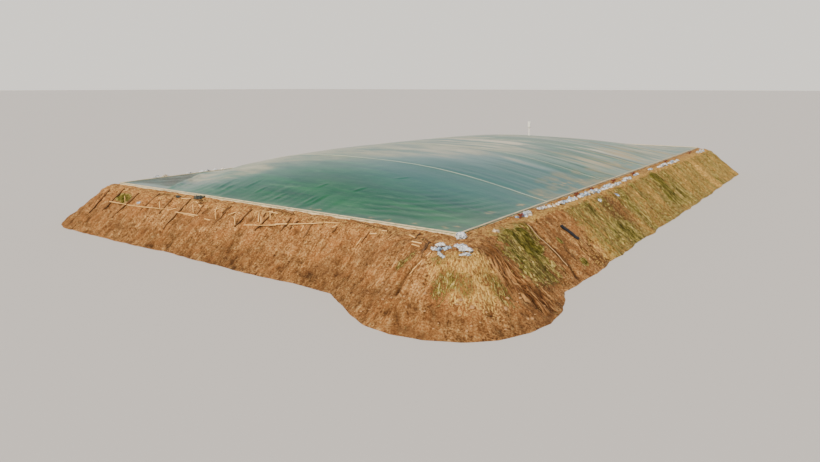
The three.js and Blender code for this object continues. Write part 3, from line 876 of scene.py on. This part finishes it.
def blown_bag(name, stuffing, crumple, seed):
    """A bag laid flat, filled by pressure, tied at one end and settled on its underside."""
    bag = add_grid(20, 12)
    bag.name = name
    bag.scale = (BAG_LENGTH * 1.08, BAG_WIDTH * 1.2, 1)
    settle(bag)
    modify(bag, "SOLIDIFY", thickness=0.02, offset=0)
    cloth = bag.modifiers.new("cloth", "CLOTH")
    cloth.settings.quality = 6
    cloth.settings.use_pressure = True
    cloth.settings.uniform_pressure_force = stuffing
    cloth.settings.effector_weights.gravity = 0
    scene = bpy.context.scene
    for step in range(1, 17):
        scene.frame_set(step)
    take(bag)
    bpy.ops.object.modifier_apply(modifier=cloth.name)
    scene.frame_set(1)
    vertices = bag.data.vertices
    low = min(vertex.co.z for vertex in vertices)
    high = max(vertex.co.z for vertex in vertices)
    half = max(vertex.co.x for vertex in vertices)
    for vertex in vertices:
        x, y, z = vertex.co
        pull = 1 - 0.45 * smooth(x, 0.55 * half, 0.8 * half) * fade(x, 0.86 * half, half)
        level = (z - low) / (high - low)
        level = max(level - 0.3, 0.04 * level) / 0.7
        dent = crumple * rough(x + seed, y, 0.3, seed, 4) + 0.5 * crumple * rough(x, y, 0.09, seed)
        height = BAG_HEIGHT * level * pull * (1 + 0.6 * dent) + 0.1 * dent * level
        sway = 0.08 * sin(2.5 * x + seed)
        vertex.co = (x, y * pull * 0.92 + sway + 0.03 * dent, max(height, 0))
    bag.data.color_attributes.new("tint", "FLOAT_COLOR", "POINT")
    return bag


bag_kinds = [
    blown_bag("full_bag", 7, 0.3, 1),
    blown_bag("slumped_bag", 4, 0.65, 4),
    blown_bag("crumpled_bag", 2.5, 1, 8),
]
dice = random.Random(7)
vary = dice.uniform


def dye(bag, tint):
    for entry in bag.data.color_attributes["tint"].data:
        entry.color = tint


def lay_bag(x, y, turn, underside=None, kind=None, size=1):
    """A copy of one kind of bag, on the soil or at a given height."""
    bag = twin_of(bag_kinds[kind if kind is not None else dice.choice((0, 0, 1, 1, 2))])
    height, normal = ground_at(x, y) if underside is None else (underside, UP)
    lean = UP.rotation_difference(normal.lerp(UP, 0.3)).to_matrix().to_4x4()
    flip = pi * dice.randint(0, 1)
    spin = Matrix.Rotation(turn + flip + vary(-0.2, 0.2), 4, "Z")
    wide, deep = vary(0.92, 1.05), vary(0.9, 1.1)
    stretch = Matrix.Diagonal((size * wide, size * deep, size, 1))
    spot = Matrix.Translation(place(x, y, height - 0.03))
    bag.data.transform(spot @ lean @ spin @ Matrix.Scale(MODEL, 4) @ stretch)
    dye(bag, dice.choice(BAG_TINTS))
    return bag


def bag_row(*line, underside=None):
    """A row of bags, each lapping the next a little, as the CAD rows are laid."""
    x, y, last_x, last_y = line
    heading = atan2(last_y - y, last_x - x)
    spots = between(line, round(hypot(last_x - x, last_y - y) / 0.98))
    bags = []
    for i, (x, y) in enumerate(spots):
        turn = heading + 0.7 + vary(-0.35, 0.35)
        x += 0.08 * sin(2.4 * i)
        bags.append(lay_bag(x, y, turn, underside, size=vary(0.75, 0.98)))
    return bags


SECOND_LAYER = CREST_HEIGHT + 0.75 * BAG_HEIGHT
THIRD_LAYER = CREST_HEIGHT + 1.5 * BAG_HEIGHT
bag_groups = {
    "corner_bag_stack": [
        lay_bag(28.66, -0.66, 0.8),
        lay_bag(28.72, -0.6, 0.95, SECOND_LAYER),
        lay_bag(28.68, -0.68, 0.7, THIRD_LAYER),
    ],
    "corner_bag_pile_left": [
        *bag_row(28.5, -4.9, 29.1, -3.7),
        *bag_row(28.95, -5.1, 29.3, -4.3),
        lay_bag(28.9, -4.5, 1.1, SECOND_LAYER),
    ],
    "corner_bag_pile_right": [
        *bag_row(30, -2.9, 31.6, -4.2),
        *bag_row(30.55, -3.9, 31.7, -4.9),
        *bag_row(30.8, -3.9, 31.6, -4.5, underside=SECOND_LAYER),
    ],
    "right_bag_heap": [
        *bag_row(28.7, 12.5, 28.8, 13.9),
        *bag_row(29.05, 12.6, 29.1, 13.4),
        lay_bag(28.9, 13.1, 1.3, SECOND_LAYER),
    ],
}
BAG_ROWS = {
    "right": [
        (29, 19.2, 29.5, 26.4), (29.4, 27.7, 29.8, 34.1), (29.8, 35.6, 29.8, 42),
        (29.6, 45, 29.6, 48.6), (29.5, 65.7, 29.7, 70), (29.8, 72.3, 29.8, 78),
        (29.8, 95.6, 29.8, 102.1),
    ],
    "left": [(-29.4, 6.4, -29.3, 8.6), (-29.5, 11.7, -29.3, 19.6)],
}
for side, lines in BAG_ROWS.items():
    for i, line in enumerate(lines, 1):
        bag_groups[f"{side}_bag_row_{i}"] = bag_row(*line)
for name, bags in bag_groups.items():
    group = piece(joined(bags), name.replace("bag", "sack"), woven_sacks, [name])

# Bags that lie by themselves: x, y, turn, kind, size
LOOSE_BAGS = [
    (29.85, 4, 0.3, 1, 0.8), (28.6, 11.2, 1.4, 2, 0.6), (28.7, 16.9, 1.3, 2, 0.9),
    (28.9, 17.8, 1.8, 1, 0.9), (29.7, 43.2, 1, 2, 0.6), (29.3, 52.6, 1.5, 1, 0.8),
    (29.2, 53.8, 1.2, 2, 0.8), (29.2, 61.4, 1.4, 0, 1), (29.95, -6.15, 0.6, 1, 0.85),
    (29.4, -2.6, 0.9, 2, 0.7), (31.1, 30.5, 0.2, 2, 0.62), (31.3, 36.7, 1.2, 1, 0.8),
    (-19.2, -3.1, 0.2, 2, 0.6),
]
# Sacks thrown on top of the rows: x, and each y
UPPER_SACKS = [
    (-29.3, (6.5, 7.9, 12.2, 14.6, 15.7, 17.4, 19)),
    (29.4, (21.4, 24.6, 28.4)),
    (29.65, (29.6, 30.7, 31.8, 33, 37.2, 38.4, 46.4)),
    (29.75, (67.2, 68.6, 74, 99.2)),
]
loose = [lay_bag(x, y, turn, None, kind, size) for x, y, turn, kind, size in LOOSE_BAGS]
for x, places in UPPER_SACKS:
    for y in places:
        turn = 1.6 + vary(-0.7, 0.7)
        loose.append(lay_bag(x, y, turn, SECOND_LAYER, 2, vary(0.8, 1)))
# Two dark empty ones lie against the front beam
for x, y, size in ((-9.6, -0.75, 1.3), (-13.2, -1.2, 0.8)):
    loose.append(lay_bag(x, y, 0.1, None, 2, size))
    dye(loose[-1], tone(44, 54, 52))
piece(joined(loose), "loose_sacks", woven_sacks)
for kind in bag_kinds:
    bpy.data.objects.remove(kind)


# Timber: poles are drawn out ring by ring over the soil, planks lie on them
def rod(points, radius, sides=10, taper=0.9, crook=0):
    """A round bar through points in real metres, a little crooked and thinner at its end."""
    path = [place(*point) for point in points]
    heading = (path[-1] - path[0]).normalized()
    bar = add(
        bpy.ops.mesh.primitive_circle_add, vertices=sides, radius=radius * MODEL, fill_type="NGON",
        location=path[0], rotation=UP.rotation_difference(heading).to_euler(),
    )
    bpy.ops.object.mode_set(mode="EDIT")
    shrink = taper ** (1 / (len(path) - 1))
    for before, after in zip(path, path[1:]):
        stray = Vector([vary(-crook, crook) * MODEL for _ in range(3)])
        bpy.ops.mesh.extrude_region_move(TRANSFORM_OT_translate={"value": after - before + stray})
        bpy.ops.transform.resize(value=(shrink, shrink, shrink))
    pick()
    bpy.ops.mesh.normals_make_consistent(inside=False)
    done_editing()
    settle(bar)
    note_grain(bar, path[0], heading)
    return bar


def note_grain(obj, origin, heading):
    """Keeps each place's distances across and along the wood, which its grain follows."""
    side = heading.orthogonal().normalized()
    rise = heading.cross(side)
    shift = vary(0, 10)
    grain = obj.data.attributes.new("grain", "FLOAT_VECTOR", "POINT")
    for vertex in obj.data.vertices:
        away = vertex.co - origin
        grain.data[vertex.index].vector = [away.dot(way) + shift for way in (side, rise, heading)]


def plank(start, end, width, thick, face=UP):
    """A sawn board between two points in real metres, with worn edges and a slight warp."""
    low, high = place(*start), place(*end)
    length = (high - low).length
    heading = (high - low).normalized()
    side = face.cross(heading).normalized()
    board = add(bpy.ops.mesh.primitive_cube_add, size=1)
    board.scale = (width * MODEL, length, thick * MODEL)
    settle(board)
    editing(board)
    bpy.ops.mesh.bisect(plane_co=(0, 0.01, 0), plane_no=(0, 1, 0))
    pick()
    bpy.ops.mesh.bisect(plane_co=(0, -0.3 * length, 0), plane_no=(0, 1, 0))
    done_editing()
    warp = 0.1 * thick * MODEL
    for vertex in board.data.vertices:
        vertex.co += Vector([vary(-warp, warp) for _ in range(3)])
    bevel(board, 0.12 * thick)
    stance = Matrix((side, heading, heading.cross(side))).transposed().to_4x4()
    board.data.transform(Matrix.Translation((low + high) / 2) @ stance)
    note_grain(board, low, heading)
    return board


def on_slope(side, across, down, lift=0):
    """A point above the plain slope of the front or right side, in real metres."""
    out = CREST_WIDTH[side] + down * cos(SLOPE) + lift * sin(SLOPE)
    z = CREST_HEIGHT - down * sin(SLOPE) + lift * cos(SLOPE)
    return (across, -out, z) if side == "front" else (HALF_X + out, across, z)


def along_slope(side, line, lift, steps=8):
    """Points of a line on a slope, halfway between plain and finished soil."""
    points = [on_slope(side, across, down, lift) for across, down in between(line, steps)]
    return [(x, y, 0.5 * (plain + ground_at(x, y)[0] + lift)) for x, y, plain in points]


def over_ground(line, lift, steps=8):
    """Points of a line, each lifted off the finished soil."""
    return [(x, y, ground_at(x, y)[0] + lift) for x, y in between(line, steps)]


POLE_RADIUS = 0.09
STICK_RADIUS = 0.06
POLE_LIFT = 0.07
CROOK = 0.015
LATH_WIDTH = 0.12
LATH_THICK = 0.05
LATH_LIFT = 0.17
SLOPE_FACE = Vector((0, -sin(SLOPE), cos(SLOPE)))


def slope_pole(line, radius=POLE_RADIUS):
    return rod(along_slope("front", line, POLE_LIFT), radius, crook=CROOK)


def lath(ends):
    return plank(*ends, LATH_WIDTH, LATH_THICK, SLOPE_FACE)


poles = {
    "slope_pole_left": [(-27.9, 0.6, -27.5, 5)],
    "slope_pole_middle": [(1.1, 0, 0.5, 2.9)],
    "slope_grid_1": [
        (-24.9, 0, -25.1, 4.4), (-21.1, 0.3, -21.9, 5), (-17, -0.2, -17.7, 3.1),
        (-13.7, 0.2, -13.7, 3),
    ],
    "slope_grid_2": [(-10.3, 0, -10.6, 5.1), (-7, 0.65, -6.9, 2.6)],
    "slope_grid_3": [(4.6, 0.1, 4, 3), (7.7, 0.4, 7.7, 2.3)],
    "slope_grid_4": [(11.2, 0.5, 11.4, 2.8), (9, 0.65, 8.8, 2)],
}
laths = {
    "slope_grid_1": [(-25.3, 2.7, -21.2, 2.7), (-20.9, 2.75, -17, 2.6), (-17.8, 2.6, -13.2, 2.35)],
    "slope_grid_2": [(-10.8, 2.5, -6.4, 2.4)],
    "slope_grid_3": [(3.7, 2.35, 6.6, 1.8), (6.3, 1.75, 8, 1.4)],
    "slope_grid_4": [(8.3, 1.4, 11.4, 0.8), (11.2, 0.85, 12.6, 0.5)],
}
for name, lines in poles.items():
    timber = joined([slope_pole(line) for line in lines])
    piece(timber, name.replace("slope", "weathered"), weathered_poles, [name], 40)
for name, lines in laths.items():
    ends = [[on_slope("front", *end, LATH_LIFT) for end in between(line, 1)] for line in lines]
    timber = joined([lath(pair) for pair in ends])
    own_name = name.replace("slope", "laths_on")
    piece(timber, own_name, fresh_laths, [name], 30)

# Small sticks, boards and stakes on the front slope, and on the mound and the crest
STICKS = [
    (-28.8, 1.4, -28.2, 4), (-8.4, 0.6, -7.7, 0.3), (-6, 0.9, -6.3, 1.9), (-2.5, 0, -2.9, 3),
    (-3, 1.3, -2.7, 0.3), (3.7, 0.9, 3.7, 0.2), (14.6, 0.6, 14.4, 1.5), (18.9, 0.6, 18.8, 2.2),
    (20.8, 0.1, 21.1, 0.8), (21.6, 0.4, 21.4, 1.1),
]
MOUND_STICKS = [
    (24.3, -1, 25, -2.9), (25.6, -2.3, 26.9, -3.3), (15.1, -0.45, 20.6, -1.3),
    (3, -0.6, 5.3, -0.8), (-19.4, -0.45, -16.6, -0.45), (25.8, -2.7, 26, -3.2),
    (26.9, -3.4, 28.4, -6.8), (27, -4, 27.9, -6.2),
]
sticks = [slope_pole(line, STICK_RADIUS) for line in STICKS]
sticks += [rod(over_ground(line, 0.05), STICK_RADIUS, crook=CROOK) for line in MOUND_STICKS]
sticks.append(rod(over_ground((5.3, -0.5, 7.4, -1.1), 0.08), 0.13, crook=CROOK))
piece(joined(sticks), "loose_sticks", weathered_poles, angle=40)

BOARDS = [
    (-13.9, 2.7, -11.6, 1.7), (-9.4, 2.5, -4.3, 2.4), (1.7, 2.4, 3.7, 2.3), (12.6, 0.3, 14.5, 0),
    (-4.8, 1.1, -3.7, 0.7), (-1.9, 1.4, -1.2, 1), (3.4, 0.2, 4.4, -0.2), (18.5, 1.7, 18.4, 2.6),
    (19.2, 1, 20, 1), (20.5, 0.6, 21.1, 0.7), (-12.2, 0, -10.4, -0.1), (-9.2, 0.1, -7.4, 0.9),
    (-4.4, 1.3, -4.6, 0.5), (-1.8, 1.3, -0.8, 1), (3.7, 1.9, 2.6, 0.4), (4.3, 0, 5.3, 0),
    (8.9, 1.8, 8.9, 1.1), (10.2, 1.7, 10.2, 1.1), (13.9, 0.7, 14.4, 0.3),
]
MOUND_BOARDS = [
    (24, -2.4, 24.8, -2.6), (25.7, -4.4, 26.8, -4.4), (25.9, -4.7, 27.1, -5.2),
    (29, -6.3, 28.1, -7.7), (28.3, -7.8, 28.3, -8.4),
]
STAKES = ((-22.3, 2.2), (-14.5, 2.2), (-7.9, 1.9), (-3.5, 2.1), (0.3, 2.5), (4.2, 1.9), (4.9, 1))
spots = []
for x, down, last_x, last_down in BOARDS:
    start, end = on_slope("front", x, down), on_slope("front", last_x, last_down)
    spots.append(start[:2] + end[:2])
boards = [lath(over_ground(line, 0.1, 1)) for line in spots + MOUND_BOARDS]
for x, down in STAKES:
    y = on_slope("front", x, down)[1]
    height = ground_at(x, y)[0]
    ends = [(x, y, height - 0.2), (x + vary(-0.1, 0.1), y, height + 1)]
    boards.append(plank(*ends, 0.1, LATH_THICK, Vector((0, -1, 0))))
piece(joined(boards), "loose_boards", fresh_laths, angle=30)

# Clamp battens: boards end to end on the cover's edge, bolted through
BATTEN_WIDTH = 0.16
BATTEN_HEIGHT = 0.09
BATTEN_OFFSET = 0.13
BOARD_LENGTH = 4
BOARD_JOINT = 0.02


def cylinder(radius, depth, sides, spot):
    operator = bpy.ops.mesh.primitive_cylinder_add
    bar = add(operator, vertices=sides, radius=radius * MODEL, depth=depth * MODEL, location=spot)
    settle(bar)
    return bar


def bolted_board(length):
    """A batten board along X with a bolt and washer every metre."""
    base = BEAM_TOP + COVER_FACE + GAP
    middle = base + BATTEN_HEIGHT / 2
    ends = [(x, HALF_Y, middle) for x in (-length / 2, length / 2)]
    parts = [plank(*ends, BATTEN_WIDTH, BATTEN_HEIGHT)]
    for i in range(length):
        spot = place(i + 0.5 - length / 2, HALF_Y, base + BATTEN_HEIGHT)
        for radius, height, sides in ((0.05, 0.008, 10), (0.028, 0.03, 6)):
            parts.append(cylinder(radius, 2 * height, sides, spot))
            note_grain(parts[-1], spot, UP)
    return joined(parts)


def batten_side(side, quarter, out, half, board):
    """Boards along one side; quarter turns bring the front one to the others."""
    count = ceil(2 * half / BOARD_LENGTH)
    pitch = 2 * half / count
    stretch = Matrix.Scale((pitch - BOARD_JOINT) / BOARD_LENGTH, 4, Vector((1, 0, 0)))
    turn = Matrix.Rotation(quarter * pi / 2, 4, "Z")
    row = []
    for i in range(count):
        row.append(twin_of(board))
        wobble = vary(-0.012, 0.012)
        shift = Vector((-half + (i + 0.5) * pitch, -out - BATTEN_OFFSET + wobble, 0)) * MODEL
        row[-1].data.transform(turn @ Matrix.Translation(shift) @ stretch)
    nodes = [f"{side}_clamp_batten"]
    piece(joined(row), f"{side}_batten_boards", batten_wood, nodes, 30)


master_board = bolted_board(BOARD_LENGTH)
# How far out the battens of two opposite sides lie, and half of their length
BATTEN_LINES = [
    (HALF_Y, HALF_X + BATTEN_OFFSET + BATTEN_WIDTH / 2 - GAP),
    (HALF_X, HALF_Y + BATTEN_OFFSET - BATTEN_WIDTH / 2 - GAP),
]
for quarter, side in enumerate(SIDES):
    batten_side(side, quarter, *BATTEN_LINES[quarter % 2], master_board)
bpy.data.objects.remove(master_board)

# Pipes on the right slope
PIPE_BENDS = ((9.6, 0.1), (9.45, 1.9), (9.6, 3.4), (9.4, 4.9), (8.9, 6.6))
pale_run = []
for start, end in zip(PIPE_BENDS, PIPE_BENDS[1:]):
    pale_run += along_slope("right", start + end, 0.03, 5)[:-1]
pale_pipe = rod(pale_run, 0.05, sides=12, taper=1, crook=0.02)
piece(pale_pipe, "cream_slope_pipe", cream_pipe, ["pale_slope_pipe"], 40)
pair = []
for offset in (-0.13, 0.13):
    black_run = along_slope("right", (15.2 + offset, 1.9, 15.8 + offset, 4.3), 0.13, 10)
    pair.append(rod(black_run, 0.12, sides=12, taper=1, crook=0.01))
piece(joined(pair), "black_pipe_pair", black_plastic, ["black_slope_pipe"], 40)

# Anchor pegs lean out of the crest beside the right ring beam, each with its cross bar
PEG_X = 28.9
PEG_BARS = (((0, 0, -0.1), (0.1, 0.5, 0.5), 0.1), ((-0.3, 0.36, 0.34), (0.4, 0.3, 0.36), 0.09))
pegs = []
for y in (11.2, 27.6, 33, 42.4, 52.2, 72.4, 92.5):
    base = ground_at(PEG_X, y)[0]
    for low, high, radius in PEG_BARS:
        ends = [(PEG_X + dx, y + dy, base + dz) for dx, dy, dz in (low, high)]
        pegs.append(rod(ends, radius, 8))
piece(joined(pegs), "anchor_pegs", rusty_steel, angle=40)

# Flare: CAD footing, stem and head, with flanges, bands, bolts and a side pipe
FLARE_X, FLARE_Y = -13.7, 105.85
# Height, radius, thickness and sides of each ring
FLARE_RINGS = [
    (7.2, 0.2, 0.06, 24), (5.9, 0.2, 0.06, 24),
    (8.62, 0.415, 0.05, 32), (9.2, 0.415, 0.05, 32), (9.62, 0.415, 0.05, 32),
]
flare_parts = []
for z, radius, depth, sides in FLARE_RINGS:
    flare_parts.append(cylinder(radius, depth, sides, place(FLARE_X, FLARE_Y, z)))
    bevel(flare_parts[-1], 0.15 * depth)
for i in range(6):
    x = FLARE_X + 0.24 * cos(i * pi / 3)
    y = FLARE_Y + 0.24 * sin(i * pi / 3)
    flare_parts.append(rod([(x, y, z) for z in (5.4, 5.44, 5.5)], 0.025, 6, taper=1))
side_pipe = [(FLARE_X + 0.22, FLARE_Y, z) for z in (5.45, 7, 8.5)]
flare_parts.append(rod(side_pipe, 0.03, 8, taper=1))
piece(joined(flare_parts), "flare_bands_and_bolts", white_enamel, angle=30)


# Stones: one kind of lump, knocked about differently each time
def stone(x, y, size):
    operator = bpy.ops.mesh.primitive_ico_sphere_add
    lump = add(operator, subdivisions=1, radius=size / 2 * MODEL)
    stretch = Vector((vary(0.8, 1.3), vary(0.7, 1.1), vary(0.5, 0.8)))
    seed = Vector((vary(0, 100), 0, 0))
    for vertex in lump.data.vertices:
        knock = 1 + 0.7 * noise.noise(vertex.co * (2 / (size * MODEL)) + seed)
        vertex.co = vertex.co * stretch * knock
    bevel(lump, 0.12 * size)
    height = ground_at(x, y)[0] + 0.1 * size
    lump.data.transform(Matrix.Translation(place(x, y, height)))
    return lump


stones = []
for _ in range(34):
    turn = vary(-2.4, 0.4)
    reach = vary(6.4, 8.8)
    size = vary(0.12, 0.4)
    stones.append(stone(29.5 + reach * cos(turn), -3.5 + reach * sin(turn), size))
for _ in range(60):
    x = vary(-27, 22)
    stones.append(stone(x, -vary(2, 7.6), vary(0.08, 0.24)))
for _ in range(40):
    stones.append(stone(vary(34.5, 36.8), vary(2, 100), vary(0.12, 0.3)))
for x, y, size in ((34.4, -8.5, 0.55), (36.2, -6.2, 0.6), (33.4, -8.6, 0.4), (30.6, -9.5, 0.45)):
    stones.append(stone(x, y, size))
piece(joined(stones), "scattered_stones", field_stone, angle=50)

# Floor, light and camera
floor = add(bpy.ops.mesh.primitive_plane_add, size=600, location=(0, 0, -0.0005))
floor.name = "studio_floor"
dress(floor, Finish("pale_floor", roughness=0.9, specular=0.1).finish((214, 208, 198)))

world = bpy.data.worlds.new("studio")
world.use_nodes = True
nodes = world.node_tree.nodes
link = world.node_tree.links.new
direction = nodes.new("ShaderNodeTexCoord").outputs["Generated"]
height = nodes.new("ShaderNodeSeparateXYZ")
glow = nodes.new("ShaderNodeValToRGB")
backdrop = nodes["Background"]
backdrop.inputs["Strength"].default_value = 0.75
link(direction, height.inputs["Vector"])
link(height.outputs["Z"], glow.inputs["Fac"])
link(glow.outputs["Color"], backdrop.inputs["Color"])
low, high = glow.color_ramp.elements
low.position, low.color = 0.14, (1.58, 1.5, 1.36, 1)
high.position, high.color = 0.42, (0.42, 0.54, 0.78, 1)
bpy.context.scene.world = world

bpy.ops.object.light_add(type="SUN", rotation=(radians(54), 0, radians(10)))
key = bpy.context.object
key.name = "key_light"
key.data.energy = 5
key.data.angle = radians(7)
key.data.color = (1, 0.86, 0.68)
key.visible_glossy = False

CAMERA_PLACE = (5.786, -10.275, 1.9)
CAMERA_TURN = (radians(90 - 12.82), 0, radians(35.06))
bpy.ops.object.camera_add(location=CAMERA_PLACE, rotation=CAMERA_TURN)
camera = bpy.context.object
camera.data.sensor_width = 36
camera.data.lens = 27.98
camera.data.clip_end = 1000
bpy.context.scene.camera = camera
